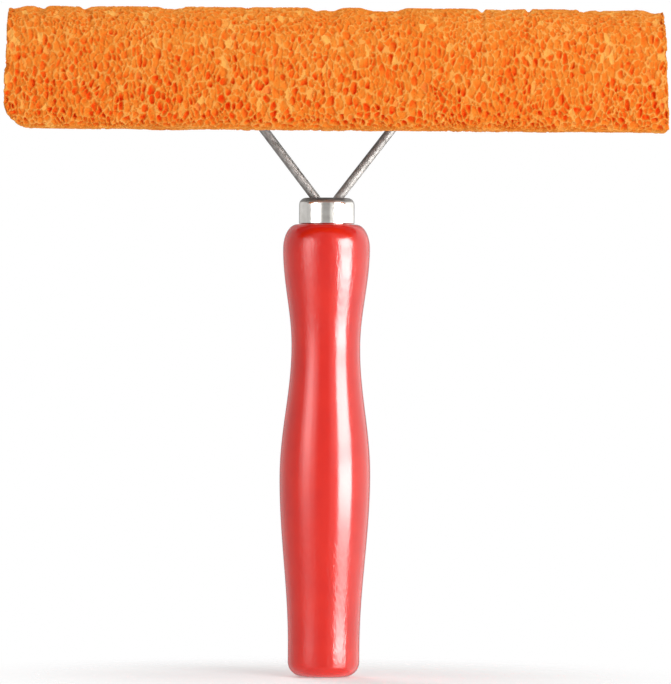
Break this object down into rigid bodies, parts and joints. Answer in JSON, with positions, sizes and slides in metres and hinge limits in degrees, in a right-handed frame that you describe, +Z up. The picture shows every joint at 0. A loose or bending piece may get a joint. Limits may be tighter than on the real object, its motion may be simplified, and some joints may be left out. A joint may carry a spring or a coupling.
{
  "type": "window squeegee",
  "caption": "Hand-held window squeegee: coarse sponge bar and rubber blade back to back on a folded steel head, with two wire arms in a V and a turned lacquered wooden handle.",
  "frame": {"origin": "middle of the handle's flat butt", "axes": "+Z up the handle to the head, +X along the head, -Y the sponge's side, +Y the blade's side"},
  "size_m": [0.2026, 0.0681, 0.2058],
  "materials": {
    "lacquered_wood": "red gloss lacquer on turned hardwood",
    "chromed_ferrule": "polished bright plating",
    "drawn_steel": "drawn, dull bright",
    "zinc_sheet": "zinc-plated sheet",
    "blade_rubber": "black moulded rubber",
    "sponge_foam": "coarse open-cell foam"
  },
  "bodies": {
    "frame": {"handle": "lacquered_wood", "ferrule": "chromed_ferrule", "ferrule_brad": "drawn_steel", "wire_arm_left": "drawn_steel", "wire_arm_right": "drawn_steel", "sponge_tray": "zinc_sheet", "blade_channel": "zinc_sheet", "sponge": "sponge_foam", "saddle_left_outer": "zinc_sheet", "saddle_rivet_left_outer_lower": "drawn_steel", "saddle_rivet_left_outer_upper": "drawn_steel", "saddle_left_inner": "zinc_sheet", "saddle_rivet_left_inner_lower": "drawn_steel", "saddle_rivet_left_inner_upper": "drawn_steel", "saddle_right_inner": "zinc_sheet", "saddle_rivet_right_inner_lower": "drawn_steel", "saddle_rivet_right_inner_upper": "drawn_steel", "saddle_right_outer": "zinc_sheet", "saddle_rivet_right_outer_lower": "drawn_steel", "saddle_rivet_right_outer_upper": "drawn_steel", "channel_rivet_1": "drawn_steel", "channel_rivet_2": "drawn_steel", "channel_rivet_3": "drawn_steel", "channel_rivet_4": "drawn_steel", "channel_rivet_5": "drawn_steel"},
    "blade": {"rubber_blade": "blade_rubber"}
  },
  "joints": [
    {"name": "blade_slide", "type": "slide", "parent": "frame", "child": "blade", "axis": [1, 0, 0], "range_m": [0, 0.18]}
  ]
}
